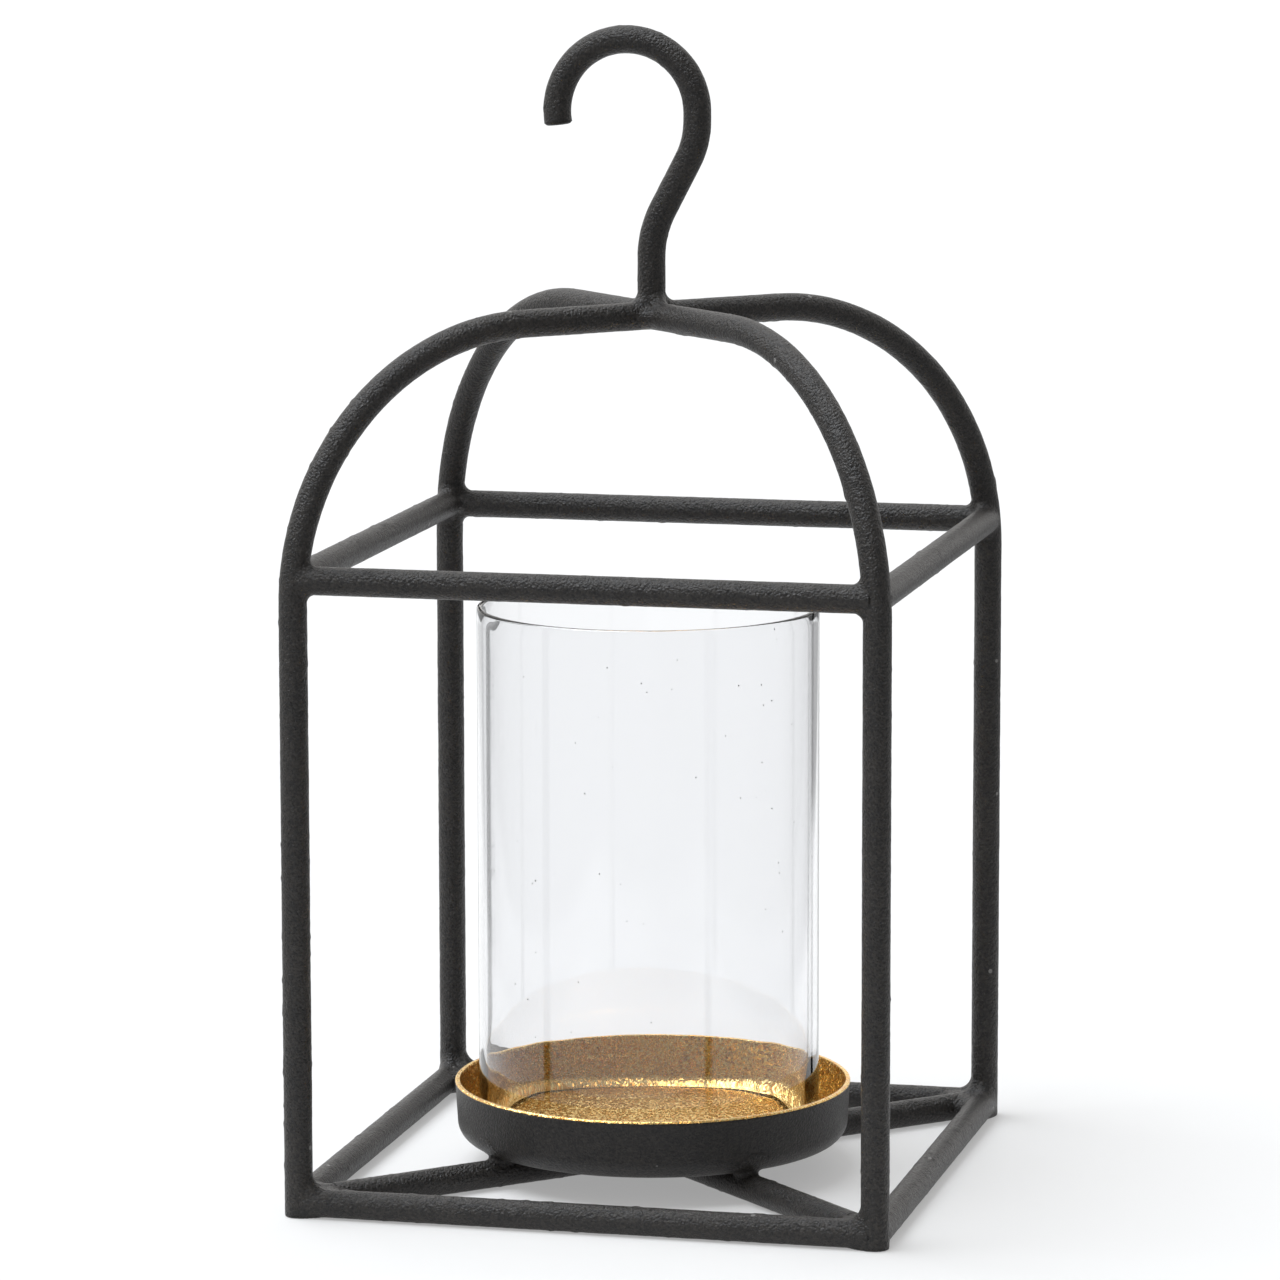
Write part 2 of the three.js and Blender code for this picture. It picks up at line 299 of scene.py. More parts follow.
def hoop_line(corner, last_moves):
    """A leg from its foot, over its shoulder and on towards the crown."""
    moves = [("run", SHOULDER_HEIGHT), OVER_SHOULDER, *last_moves]
    return bent_line(corner_at(corner, LEG_OFFSET, 0), UP, -outward(corner), moves)


def ring_line(ends, offset, height):
    start, end = (corner_at(name, offset, height) for name in ends)
    along = (end - start) / np.linalg.norm(end - start)
    return straight_line(start + along * BUTT_OFFSET, end - along * BUTT_OFFSET)


def cross_line(corner, inner_end):
    foot = UP * ROD_RADIUS
    return straight_line(foot + outward(corner) * inner_end, foot + outward(corner) * CROSS_END)


def hook_line():
    moves = [
        ("run", HOOK_STEM - BUTT_OFFSET),
        ("turn", HOOK_LEAN, HOOK_NECK_RADIUS),
        ("run", HOOK_NECK_STRAIGHT),
        ("turn", -HOOK_LEAN, HOOK_SIDE_RADIUS),
        ("run", HOOK_SIDE_STRAIGHT),
        ("turn", -HOOK_CURL_END, HOOK_RADIUS),
        ("run", HOOK_TIP),
    ]
    return bent_line(UP * (CROWN_HEIGHT + BUTT_OFFSET), UP, (1, 0, 0), moves)


over_and_down = [("run", 2 * CROWN_HALF), OVER_SHOULDER, ("run", SHOULDER_HEIGHT)]
to_crown = [("run", CROWN_HALF - BUTT_OFFSET)]
lines = {
    "hoop_full": hoop_line("front_left", over_and_down),
    "hoop_half_front_right": hoop_line("front_right", to_crown),
    "hoop_half_back_left": hoop_line("back_left", to_crown),
    "cross_full": cross_line("back_right", -CROSS_END),
    "cross_half_front_right": cross_line("front_right", BUTT_OFFSET),
    "cross_half_back_left": cross_line("back_left", BUTT_OFFSET),
    "hook": hook_line(),
}
for ring_side, ring_ends in SIDES.items():
    lines["ring_top_" + ring_side] = ring_line(ring_ends, TOP_RING_OFFSET, TOP_RING_HEIGHT)
    lines["ring_base_" + ring_side] = ring_line(ring_ends, LEG_OFFSET, ROD_RADIUS)


def rod_mesh(line):
    """A coated rod along its line, with both ends cut flat and their edges worn a little round."""
    points, headings, across = line
    turns = np.linspace(0, math.pi / 2, END_STEPS, endpoint=False)
    depths = END_ROUNDING * (1 - np.cos(turns))
    radii = COAT_RADIUS - END_ROUNDING * (1 - np.sin(turns))
    keep = slice(1, -1)
    start = points[0] + headings[0] * depths[:, None]
    end = points[-1] - headings[-1] * depths[::-1, None]
    middles = np.vstack([start, points[keep], end])
    ahead = np.vstack([
        np.tile(headings[0], (END_STEPS, 1)),
        headings[keep],
        np.tile(headings[-1], (END_STEPS, 1)),
    ])
    radius = np.concatenate([radii, np.full(len(points) - 2, COAT_RADIUS), radii[::-1]])
    rows = len(middles)
    side = np.cross(across, ahead)
    angles = np.linspace(0, 2 * math.pi, ROD_SIDES, endpoint=False)
    out = side[:, None] * np.cos(angles)[None, :, None] + across * np.sin(angles)[None, :, None]
    surface = (middles[:, None] + out * radius[:, None, None]).reshape(-1, 3)
    surface += out.reshape(-1, 3) * powder(surface)[:, None]
    hub = len(surface)
    faces = ring_faces(rows, ROD_SIDES)
    faces += end_fans(ROD_SIDES, hub, 0, hub + 1, (rows - 1) * ROD_SIDES)
    return inside_cage(np.vstack([surface, points[0], points[-1]])), faces


# ---- weld beads ----

TOP_FILLET_RADIUS = 2.4
CROWN_FILLET_RADIUS = 3.6
BASE_FILLET_RADIUS = 4.0
DISH_FILLET_RADIUS = 2.4
LEAST_FILLET = 1e-3
WELD_CELL = 0.4
WELD_SPARE_CELLS = 6
WELD_SPAN = 12.5
WELD_SINK = 0.06
DISH_WELD_SPAN = 6.0
DISH_WELD_ROOT = 0.5  # how deep a bead reaches into the dish's wall
DISH_WELD_INSET = 2.0  # how far inside the dish's foot radius a bead's middle lies
PROJECT_PASSES = 2
PROJECT_STEP = 0.02
LEAST_SLOPE = 0.3  # of the squared slope, where the outline's surfaces cancel out


def rod_field(line_points):
    """Distance to a rod's surface, and the direction out of it, for points in space."""
    starts = line_points[:-1]
    spans = line_points[1:] - starts
    lengths = (spans**2).sum(1)

    def field(points):
        best = np.full(len(points), np.inf)
        away = np.zeros_like(points)
        for start, span, length in zip(starts, spans, lengths):
            along = np.clip((points - start) @ span / length, 0, 1)
            reach = points - start - along[:, None] * span
            distance = np.linalg.norm(reach, axis=1)
            nearer = distance < best
            best[nearer] = distance[nearer]
            away[nearer] = reach[nearer]
        return best - COAT_RADIUS, away / np.maximum(best, TINY)[:, None]

    return field


def dish_field(points):
    """Distance to the dish's outside near its rounded corner, and the direction out of it."""
    reach = np.hypot(points[:, 0], points[:, 1])
    lean = DISH_TAPER * (points[:, 2] - DISH_BOTTOM) / (DISH_TOP - DISH_BOTTOM)
    side = reach - lean - (DISH_FOOT_RADIUS - DISH_CORNER_RADIUS)
    below = DISH_BOTTOM + DISH_CORNER_RADIUS - points[:, 2]
    outside = np.hypot(np.maximum(side, 0), np.maximum(below, 0))
    distance = outside + np.minimum(np.maximum(side, below), 0) - DISH_CORNER_RADIUS
    flat = np.where(side > 0, side, np.where(below > 0, 0, 1))
    down = np.where(below > 0, below, 0)
    norm = np.maximum(np.hypot(flat, down), TINY)
    ahead = points[:, :2] / np.maximum(reach, TINY)[:, None]
    return distance, np.column_stack([ahead * (flat / norm)[:, None], -down / norm])


def outside_dish(points):
    """Negative where a bead may be: outside the dish, or just inside its wall."""
    return -dish_field(points)[0] - DISH_WELD_ROOT


def anywhere(points):
    """Negative everywhere: the limit of a bead that has none."""
    return np.full(len(points), -np.inf)


def filleted(fields, fillet):
    """The surfaces' joint outline, with a round fillet in each hollow between two of them."""

    def field(points):
        parts = [one(points) for one in fields]
        joined = np.min([distance for distance, _ in parts], axis=0)
        for first, (da, na) in enumerate(parts):
            for db, nb in parts[first + 1 :]:
                hollow = np.clip(1 - (na * nb).sum(1), 0, 1)
                radius = np.maximum(fillet * hollow, LEAST_FILLET)
                a = np.maximum(radius - da, 0)
                b = np.maximum(radius - db, 0)
                rounded = np.maximum(radius, np.minimum(da, db)) - np.hypot(a, b)
                joined = np.minimum(joined, rounded)
        return joined

    return field


def weld_mesh(centre, field, span, limit):
    """A bead's mesh: the filleted outline within span of the joint's middle, sunk a little so
    that it comes out of the rods smoothly, and lifted by the same relief as theirs."""

    def bead(points):
        ball = np.linalg.norm(points - centre, axis=1) - span
        side = np.abs(points[:, :2]).max(1) - (cad_high[0] / MM - WELD_SINK)
        floor = WELD_SINK - points[:, 2]
        return np.max([field(points) + WELD_SINK, ball, side, floor, limit(points)], axis=0)

    cells = int(2 * span / WELD_CELL) + WELD_SPARE_CELLS
    low = centre - cells * WELD_CELL / 2
    steps = np.arange(cells)
    grid = np.stack(np.meshgrid(steps, steps, steps, indexing="ij"), axis=-1).reshape(-1, 3)
    values = bead(low + grid * WELD_CELL).reshape(cells, cells, cells)
    volume = openvdb.FloatGrid(float(span))
    volume.copyFromArray((values / WELD_CELL).astype(np.float32))
    points, quads = volume.convertToQuads(0.0)
    points = low + points.astype(float) * WELD_CELL
    for _ in range(PROJECT_PASSES):
        here = bead(points)
        changes = [bead(points + step) - here for step in np.eye(3) * PROJECT_STEP]
        slope = np.column_stack(changes) / PROJECT_STEP
        size = np.maximum((slope**2).sum(1), LEAST_SLOPE)
        points -= slope * (here / size)[:, None]
    points += slope / np.sqrt(size)[:, None] * powder(points)[:, None]
    return inside_cage(points), quads


def near(line_name, centre, extend):
    """The stretch of a rod's line round a joint, extended to the joint's middle if it butts."""
    points = lines[line_name][0]
    reach = np.linalg.norm(points - centre, axis=1)
    part = points[reach < WELD_SPAN + 2 * ROD_RADIUS][::2]
    if not extend:
        return part
    if np.linalg.norm(part[0] - centre) < np.linalg.norm(part[-1] - centre):
        return np.vstack([centre, part])
    return np.vstack([part, centre])


HOOP_AT = {
    "front_left": "hoop_full",
    "front_right": "hoop_half_front_right",
    "back_right": "hoop_full",
    "back_left": "hoop_half_back_left",
}
CROSS_AT = {
    "front_left": "cross_full",
    "front_right": "cross_half_front_right",
    "back_right": "cross_full",
    "back_left": "cross_half_back_left",
}


def weld_recipes():
    """Each bead's name, middle, surfaces, fillet radius, span and limit."""
    for name, (x, y) in CORNERS.items():
        side_x = "front" if y < 0 else "back"
        side_y = "left" if x < 0 else "right"
        top = corner_at(name, TOP_RING_OFFSET, TOP_RING_HEIGHT)
        arms = [near(HOOP_AT[name], top, False)]
        arms += [near("ring_top_" + side, top, True) for side in (side_x, side_y)]
        fields = [rod_field(arm) for arm in arms]
        yield "weld_top_" + name, top, fields, TOP_FILLET_RADIUS, WELD_SPAN, anywhere
        base = corner_at(name, LEG_OFFSET, ROD_RADIUS)
        arms = [near(HOOP_AT[name], base, False)]
        arms += [near("ring_base_" + side, base, True) for side in (side_x, side_y)]
        arms.append(near(CROSS_AT[name], base, True))
        fields = [rod_field(arm) for arm in arms]
        yield "weld_base_" + name, base, fields, BASE_FILLET_RADIUS, WELD_SPAN, anywhere
        rest = outward(name) * (DISH_FOOT_RADIUS - DISH_WELD_INSET) + UP * DISH_BOTTOM
        cross = lines[CROSS_AT[name]][0]
        cross = cross[np.linalg.norm(cross - rest, axis=1) < WELD_SPAN][::2]
        fields = [rod_field(cross), dish_field]
        yield "weld_dish_" + name, rest, fields, DISH_FILLET_RADIUS, DISH_WELD_SPAN, outside_dish
    crown = UP * CROWN_HEIGHT
    arms = [near("hoop_full", crown, False), near("hook", crown, True)]
    arms += [near(HOOP_AT[name], crown, True) for name in ("front_right", "back_left")]
    fields = [rod_field(arm) for arm in arms]
    yield "weld_crown", crown, fields, CROWN_FILLET_RADIUS, WELD_SPAN, anywhere
    middle = UP * ROD_RADIUS
    for name in ("front_right", "back_left"):
        arms = [near("cross_full", middle, False), near(CROSS_AT[name], middle, True)]
        shift = middle + outward(name) * ROD_RADIUS
        fields = [rod_field(arm) for arm in arms]
        yield "weld_cross_" + name, shift, fields, DISH_FILLET_RADIUS, DISH_WELD_SPAN, anywhere


# ---- lathed pieces ----

DISH_SEGMENTS = 288
GLASS_SEGMENTS = 240
LATHE_STEP = 0.8


def arc(x, z, radius, start, end, step=LATHE_STEP):
    count = max(3, round(abs(end - start) * radius / step))
    angles = np.linspace(start, end, count + 1)
    return np.column_stack([x + radius * np.cos(angles), z + radius * np.sin(angles)])


def fill(profile, step=LATHE_STEP):
    """The profile with points added, so that none are further apart than step."""
    out = [profile[0]]
    for start, end in zip(profile[:-1], profile[1:]):
        count = max(1, math.ceil(np.hypot(*(end - start)) / step))
        out += [start + (end - start) * k / count for k in range(1, count + 1)]
    return np.array(out)


def lathe(profile, segments):
    """Rows of points, one ring for each point of the profile, with its outward directions."""
    angles = np.linspace(0, 2 * math.pi, segments, endpoint=False)
    circle = np.column_stack([np.cos(angles), np.sin(angles)])
    flat = (profile[:, None, :1] * circle[None]).reshape(-1, 2)
    heights = np.repeat(profile[:, 1], segments)
    along = np.gradient(profile, axis=0)
    normal = np.column_stack([along[:, 1], -along[:, 0]])
    normal /= np.maximum(np.linalg.norm(normal, axis=1), TINY)[:, None]
    out = (normal[:, None, :1] * circle[None]).reshape(-1, 2)
    return (
        np.column_stack([flat, heights]),
        np.column_stack([out, np.repeat(normal[:, 1], segments)]),
    )


def bowl_mesh(profile, roughen):
    """A lathed solid whose profile starts and ends on the axis, near radius zero."""
    points, out = lathe(profile[1:-1], DISH_SEGMENTS)
    points += out * roughen(points)[:, None]
    hub = len(points)
    faces = ring_faces(len(profile) - 2, DISH_SEGMENTS)
    faces += end_fans(DISH_SEGMENTS, hub, 0, hub + 1, hub - DISH_SEGMENTS)
    hubs = [[0, 0, profile[0, 1]], [0, 0, profile[-1, 1]]]
    return np.vstack([points, hubs]), faces


COAT_SHARE = 0.55  # of the dish's wall that the black outer piece takes
RIM_DROP = 0.35  # the gold runs over the rim and this far down its outside
RIM_OUTER_ROUND = 0.5
RIM_INNER_ROUND = 0.15
LIP_STEP = 0.1
SEAM = 0.1  # the black coat stands back from the gold by this much at its edge
DISH_GRAIN = 0.9
DISH_COAT_DEPTH = 0.02
GOLD_DEPTH = 0.025


def dish_profile(inset, top):
    """The dish's outline, moved into its wall by an inset, from the axis up to the rim."""
    x = DISH_FOOT_RADIUS - DISH_CORNER_RADIUS
    z = DISH_BOTTOM + DISH_CORNER_RADIUS
    corner = arc(x, z, DISH_CORNER_RADIUS - inset, -math.pi / 2, 0)
    lean = DISH_TAPER * (top - z) / (DISH_TOP - z)
    rim = np.array([[DISH_FOOT_RADIUS + lean - inset, top]])
    return np.vstack([[[0, DISH_BOTTOM + inset]], corner, rim])


def dish_outside_mesh():
    middle = DISH_WALL * COAT_SHARE
    top = DISH_TOP - RIM_DROP - SEAM
    profile = np.vstack([dish_profile(SEAM / 3, top), dish_profile(middle, top)[::-1]])

    def roughen(points):
        return relief.at(points, DISH_GRAIN) * DISH_COAT_DEPTH

    return bowl_mesh(fill(profile), roughen)


def dish_inside_mesh():
    middle = DISH_WALL * COAT_SHARE + SEAM / 3
    crest = DISH_TOP - RIM_OUTER_ROUND - 2 * GOLD_DEPTH
    edge = crest + RIM_OUTER_ROUND - RIM_INNER_ROUND
    lip = np.array([
        dish_profile(middle, DISH_TOP - RIM_DROP)[-1],
        dish_profile(SEAM / 3, DISH_TOP - RIM_DROP)[-1],
    ])
    half = math.pi / 2
    outer = DISH_RIM_RADIUS - RIM_OUTER_ROUND
    inner = DISH_RIM_RADIUS - DISH_WALL + RIM_INNER_ROUND
    over = np.vstack([
        arc(outer, crest, RIM_OUTER_ROUND - SEAM / 3, 0, half, step=LIP_STEP),
        arc(inner, edge, RIM_INNER_ROUND - SEAM / 3, half, 2 * half, step=LIP_STEP),
    ])
    outside = dish_profile(middle, DISH_TOP - RIM_DROP)[:-1]
    inside = dish_profile(DISH_WALL, DISH_TOP - RIM_DROP)[::-1]
    profile = np.vstack([outside, lip, over, inside])

    def roughen(points):
        return relief.at(points + GOLD_SHIFT, DISH_GRAIN) * GOLD_DEPTH

    return bowl_mesh(fill(profile), roughen)


DRAW_LINES = 0.026  # depth of the lines that drawing leaves along the tube's bore
DRAW_LINE_WAVES = (5, 9, 14, 23)
DRAW_SWELL = 0.05  # and of the tube's slower unevenness outside
DRAW_SWELL_WAVES = (3, 4, 7)
GLASS_ROW_STEP = 3.0
GLASS_RIM_STEP = 0.15
GLASS_FADE_ROWS = 13
SEED_COUNT = 90
SEED_RADII = (0.09, 0.17)
SEED_STRETCH = 1.4
SEED_ROWS = 6
SEED_SIDES = 10
SEED_ABOVE_FOOT = 6
SEED_BELOW_RIM = 4
GLASS_SEAT = 0.25  # the loose tube settles through the CAD gap onto the dish


def tube_waves(angles, seed, depth, counts):
    """A sum of a few waves round the tube, each with its own random turn."""
    draw = np.random.default_rng(seed)
    total = np.zeros_like(angles)
    for count in counts:
        turned = count * angles + draw.uniform(0, 2 * math.pi)
        total += math.sqrt(2 / len(counts)) * np.cos(turned)
    return total * depth


def seed_mesh(middle, radius):
    """A small dark speck in the glass, a little longer than wide: painted shade that stands in for
    a bubble, which looks dark by refraction.
    """
    points = [middle - UP * radius * SEED_STRETCH]
    for row in range(1, SEED_ROWS):
        rise = math.pi * row / SEED_ROWS
        flat = radius * math.sin(rise)
        for side in range(SEED_SIDES):
            turn = 2 * math.pi * side / SEED_SIDES
            offset = (flat * math.cos(turn), flat * math.sin(turn))
            points.append(middle + [*offset, -radius * SEED_STRETCH * math.cos(rise)])
    points.append(middle + UP * radius * SEED_STRETCH)
    last = len(points) - 1
    faces = ring_faces(SEED_ROWS - 1, SEED_SIDES, first=1)
    faces += end_fans(SEED_SIDES, 0, 1, last, last - SEED_SIDES)
    return points, faces


def swell(start, start_height, end, end_height):
    """A smooth change of the bore's radius between two heights."""
    share = np.linspace(0, 1, GLASS_FADE_ROWS)
    heights = start_height + (end_height - start_height) * share
    return np.column_stack([start + (end - start) * eased(share), heights])


def glass_mesh():
    """The tube: melted rim, heavier foot that is ground flat, and faint draw lines."""
    bore = GLASS_RADIUS - GLASS_WALL
    foot_bore = GLASS_RADIUS - GLASS_FOOT_WALL
    foot = glass_low[2] - GLASS_SEAT
    rim = GLASS_TOP - GLASS_RIM_RADIUS
    outer_edge = GLASS_RADIUS - GLASS_RIM_RADIUS
    inner_edge = bore + GLASS_RIM_RADIUS
    quarter = math.pi / 2
    profile = np.vstack([
        [[foot_bore + GLASS_FOOT_CHAMFER, foot], [GLASS_RADIUS - GLASS_FOOT_CHAMFER, foot]],
        [[GLASS_RADIUS, foot + GLASS_FOOT_CHAMFER]],
        arc(outer_edge, rim, GLASS_RIM_RADIUS, 0, quarter, GLASS_RIM_STEP),
        arc(inner_edge, rim, GLASS_RIM_RADIUS, quarter, 2 * quarter, GLASS_RIM_STEP),
        swell(bore, foot + GLASS_FOOT_FADE, foot_bore, foot + GLASS_FOOT_HEAVY),
        [[foot_bore, foot + GLASS_FOOT_CHAMFER]],
    ])
    profile = fill(profile, GLASS_ROW_STEP)
    points, _ = lathe(profile, GLASS_SEGMENTS)
    rows = len(profile)
    angles = np.tile(np.linspace(0, 2 * math.pi, GLASS_SEGMENTS, endpoint=False), rows)
    on_bore = np.repeat(profile[:, 0] < bore + GLASS_WALL / 2, GLASS_SEGMENTS)
    inner = tube_waves(angles, 3, DRAW_LINES, DRAW_LINE_WAVES) + DRAW_LINES
    outer = tube_waves(angles, 4, DRAW_SWELL, DRAW_SWELL_WAVES) - DRAW_SWELL
    points[:, :2] *= (1 + np.where(on_bore, inner, outer) / GLASS_RADIUS)[:, None]
    faces = ring_faces(rows + 1, GLASS_SEGMENTS)
    faces = [tuple(index % len(points) for index in face) for face in faces]
    return points + [GLASS_MIDDLE, 0, 0], faces


def seeds_mesh():
    """Dark specks scattered in the tube's wall, painted shade for its bubbles."""
    draw = np.random.default_rng(11)
    middle_wall = GLASS_RADIUS - GLASS_WALL / 2
    spread = GLASS_WALL / 4
    points = []
    faces = []
    for _ in range(SEED_COUNT):
        turn = draw.uniform(0, 2 * math.pi)
        height = draw.uniform(glass_low[2] + SEED_ABOVE_FOOT, GLASS_TOP - SEED_BELOW_RIM)
        reach = middle_wall + draw.uniform(-spread, spread)
        middle = np.array([reach * math.cos(turn) + GLASS_MIDDLE, reach * math.sin(turn), height])
        seed, seed_faces = seed_mesh(middle, draw.uniform(*SEED_RADII))
        faces += [tuple(len(points) + index for index in face) for face in seed_faces]
        points += seed
    return points, faces


# ---- materials ----


class Finish:
    """A material's nodes, with short names for the few kinds that are used."""

    def __init__(self, name):
        self.material = bpy.data.materials.new(name)
        self.material.use_nodes = True
        self.tree = self.material.node_tree
        self.shader = next(n for n in self.tree.nodes if n.type == "BSDF_PRINCIPLED")
        place = self.tree.nodes.new("ShaderNodeTexCoord")
        self.place = place.outputs["Object"]

    def link(self, source, target):
        self.tree.links.new(source, target)

    def node(self, kind, inputs=None, **settings):
        made = self.tree.nodes.new(kind)
        for key, value in settings.items():
            setattr(made, key, value)
        for key, value in (inputs or {}).items():
            if isinstance(value, bpy.types.NodeSocket):
                self.link(value, made.inputs[key])
            else:
                made.inputs[key].default_value = value
        return made

    def noise(self, size_mm, detail=2.0, roughness=0.5):
        inputs = {
            "Vector": self.place,
            "Scale": 1 / (size_mm * MM),
            "Detail": detail,
            "Roughness": roughness,
        }
        return self.node("ShaderNodeTexNoise", inputs).outputs["Fac"]

    def cells(self, size_mm, output="Distance"):
        inputs = {"Vector": self.place, "Scale": 1 / (size_mm * MM)}
        return self.node("ShaderNodeTexVoronoi", inputs).outputs[output]

    def ranged(self, value, low, high, to_low=0.0, to_high=1.0, smooth=False):
        inputs = {"Value": value, "From Min": low, "From Max": high}
        inputs.update({"To Min": to_low, "To Max": to_high})
        kind = "SMOOTHSTEP" if smooth else "LINEAR"
        made = self.node("ShaderNodeMapRange", inputs, interpolation_type=kind)
        return made.outputs["Result"]

    def math(self, operation, first, second=0.0, third=0.0):
        inputs = {0: first, 1: second, 2: third}
        return self.node("ShaderNodeMath", inputs, operation=operation).outputs[0]

    def vector(self, operation, inputs):
        return self.node("ShaderNodeVectorMath", inputs, operation=operation).outputs[0]

    def mix(self, factor, first, second):
        made = self.node("ShaderNodeMix", data_type="RGBA")
        for index, value in ((0, factor), (6, first), (7, second)):
            if isinstance(value, bpy.types.NodeSocket):
                self.link(value, made.inputs[index])
            else:
                made.inputs[index].default_value = value
        return made.outputs[2]

    def bump(self, height, depth_mm, strength=1.0, normal=None):
        inputs = {"Height": height, "Distance": depth_mm * MM, "Strength": strength}
        if normal is not None:
            inputs["Normal"] = normal
        return self.node("ShaderNodeBump", inputs).outputs["Normal"]

    def set(self, **values):
        for key, value in values.items():
            socket = self.shader.inputs[key.replace("_", " ")]
            if isinstance(value, bpy.types.NodeSocket):
                self.link(value, socket)
            else:
                socket.default_value = value


def grey(value, warmth=0.0):
    """A grey, or with some warmth a brownish grey."""
    return (value * (1 + warmth), value, value * (1 - warmth), 1)


COAT_SHEEN = (0.96, 0.97, 1.0, 1)
SAND_SPACING = 1.3  # of the grain's size
SAND_DEPTH = 0.6  # of the grain's height
COAT_PATCH_MM = 14.0
GRAIN_TONE = 0.5  # shares in the coat's tone
PATCH_TONE = 0.3
EACH_GRAIN_TONE = 0.45


def powder_finish(name, grain_mm, base, depth_mm, speck_mm):
    """Matt powder coat: sandy grain, slow patches of tone, and a few pale specks of dust."""
    finish = Finish(name)
    grain = finish.noise(grain_mm, detail=3.0, roughness=0.6)
    sand = finish.cells(grain_mm * SAND_SPACING)
    height = finish.math("ADD", grain, finish.math("MULTIPLY", sand, -SAND_DEPTH))
    patches = finish.noise(COAT_PATCH_MM, detail=3.0)
    each = finish.node("ShaderNodeSeparateColor", {"Color": finish.cells(grain_mm, "Color")})
    grain_share = finish.math("MULTIPLY", grain, GRAIN_TONE)
    tone = finish.math("ADD", grain_share, finish.math("MULTIPLY", patches, PATCH_TONE))
    tone = finish.math("MULTIPLY_ADD", each.outputs[0], EACH_GRAIN_TONE, tone)
    dark = grey(base * 0.3, 0.2)
    light = grey(base * 2.4, 0.18)
    colour = finish.mix(finish.ranged(tone, 0.4, 0.9), dark, light)
    specks = finish.ranged(finish.cells(speck_mm), 0.05, 0.035, smooth=True)
    colour = finish.mix(specks, colour, grey(0.2, 0.03))
    finish.set(
        Base_Color=colour,
        Roughness=finish.ranged(grain, 0.3, 0.7, 0.3, 0.5),
        Specular_IOR_Level=0.5,
        Specular_Tint=COAT_SHEEN,
        Normal=finish.bump(height, depth_mm, 1.0),
    )
    return finish.material


GOLD_FLAKE_MM = 0.42
GOLD_TILT = 0.5
GOLD_CLOUD_MM = 9.0
FLAKE_TONE = 0.7  # shares in the gold's tone
CLOUD_TONE = 0.25
DEEP_GOLD = (0.84, 0.36, 0.065, 1)
BRIGHT_GOLD = (1.0, 0.76, 0.32, 1)


def gold_finish(name):
    """Metallic gold paint: flakes of their own tone and gloss, each at its own small tilt."""
    finish = Finish(name)
    flake = finish.cells(GOLD_FLAKE_MM, "Color")
    split = finish.node("ShaderNodeSeparateColor", {"Color": flake})
    tilt = finish.vector("SUBTRACT", {0: flake, 1: (0.5, 0.5, 0.5)})
    tilt = finish.vector("SCALE", {0: tilt, "Scale": GOLD_TILT})
    surface = finish.node("ShaderNodeNewGeometry").outputs["Normal"]
    normal = finish.vector("NORMALIZE", {0: finish.vector("ADD", {0: surface, 1: tilt})})
    clouds = finish.math("MULTIPLY", finish.noise(GOLD_CLOUD_MM, detail=3.0), CLOUD_TONE)
    tone = finish.math("MULTIPLY_ADD", split.outputs[0], FLAKE_TONE, clouds)
    grain = finish.noise(0.5, detail=2.0)
    finish.set(
        Base_Color=finish.mix(finish.ranged(tone, 0.05, 0.7), DEEP_GOLD, BRIGHT_GOLD),
        Metallic=1.0,
        Roughness=finish.ranged(split.outputs[1], 0.0, 1.0, 0.2, 0.34),
        Normal=finish.bump(grain, 0.03, 0.5, normal),
    )
    return finish.material


GLASS_TINTS = ((0.942, 0.944, 0.952, 1), (0.952, 0.954, 0.962, 1))


def glass_finish(name):
    """Clear glass with a faint cool tint and a trace of handling in its gloss."""
    finish = Finish(name)
    smear = finish.noise(30.0, detail=4.0)
    finish.set(
        Base_Color=finish.mix(smear, *GLASS_TINTS),
        Transmission_Weight=1.0,
        IOR=1.48,
        Roughness=finish.ranged(smear, 0.3, 0.7, 0.0, 0.02),
    )
    return finish.material


def bubble_shade_finish(name):
    """Brown to grey specks: painted shade in place of the glass's small bubbles, which look dark by
    refraction.
    """
    finish = Finish(name)
    shade = finish.noise(0.4, detail=2.0)
    finish.set(
        Base_Color=finish.mix(shade, grey(0.05, 0.1), grey(0.12, 0.1)),
        Roughness=finish.ranged(shade, 0.3, 0.7, 0.5, 0.7),
    )
    return finish.material


black_coat = powder_finish(
    "black_powder_coat", grain_mm=0.55, base=0.012, depth_mm=0.42, speck_mm=13.0
)
dish_coat = powder_finish(
    "dish_powder_coat", grain_mm=0.45, base=0.01, depth_mm=0.2, speck_mm=10.0
)
gold_paint = gold_finish("gold_paint")
clear_glass = glass_finish("clear_glass")
# dark specks painted in place of the glass's bubbles, as painted shade
glass_seed = bubble_shade_finish("glass_seed")

# ---- the pieces ----

for line_name, line in lines.items():
    points, faces = rod_mesh(line)
    add_piece("coated_" + line_name, points, faces, black_coat, "cage", [line_name])

for weld_name, centre, fields, fillet, span, limit in weld_recipes():
    points, faces = weld_mesh(centre, filleted(fields, fillet), span, limit)
    add_piece("bead_" + weld_name, points, faces, black_coat, "cage", [weld_name])

points, faces = dish_outside_mesh()
add_piece("dish_outside", points, faces, dish_coat, "cage", ["dish"])
points, faces = dish_inside_mesh()
add_piece("dish_inside", points, faces, gold_paint, "cage", ["dish"])
points, faces = glass_mesh()
add_piece("lantern_glass", points, faces, clear_glass, "glass", ["glass_tube"])
points, faces = seeds_mesh()
add_piece("glass_seeds", points, faces, glass_seed, "glass", [])

# ---- floor, light and camera ----

BACKDROP_AZIMUTH = math.radians(13.5)  # the paper and the backdrop lie opposite the camera
FORWARD = (-math.sin(BACKDROP_AZIMUTH), math.cos(BACKDROP_AZIMUTH), 0)
RIGHTWARD = (math.cos(BACKDROP_AZIMUTH), math.sin(BACKDROP_AZIMUTH), 0)

